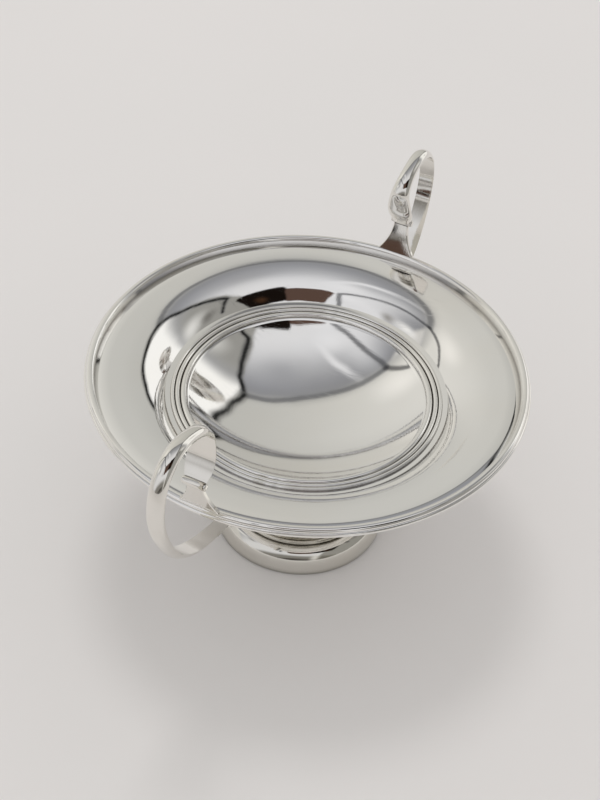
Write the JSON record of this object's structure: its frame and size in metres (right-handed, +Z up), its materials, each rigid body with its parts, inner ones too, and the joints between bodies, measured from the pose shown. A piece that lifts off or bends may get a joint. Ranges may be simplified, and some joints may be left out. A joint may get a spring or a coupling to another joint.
{
  "type": "footed two-handled dish",
  "caption": "Round silver dish with a shallow well, a reeded ring and a flared brim, on a spreading foot, with strap handles looping over the rim.",
  "frame": {"origin": "centre of the circle on which the foot rests", "axes": "+Z up along the bowl's axis, with the handles at -X and +X"},
  "size_m": [0.1984, 0.15, 0.1093],
  "materials": {
    "polished_sheet": "polished silver sheet, mirror bright with fine polishing marks",
    "polished_mouldings": "polished silver wire and mouldings, darker in the grooves",
    "polished_handles": "polished cast and rolled silver, slightly worn on the edges"
  },
  "bodies": {
    "root": {"bowl": "polished_sheet", "rim_wire": "polished_mouldings", "reeded_ring": "polished_mouldings", "foot": "polished_sheet", "foot_moulding": "polished_mouldings", "collar": "polished_mouldings", "left_handle": "polished_handles", "right_handle": "polished_handles", "left_scroll": "polished_handles", "right_scroll": "polished_handles", "left_rim_bracket": "polished_handles", "right_rim_bracket": "polished_handles", "left_root_pad": "polished_handles", "right_root_pad": "polished_handles"}
  },
  "joints": []
}
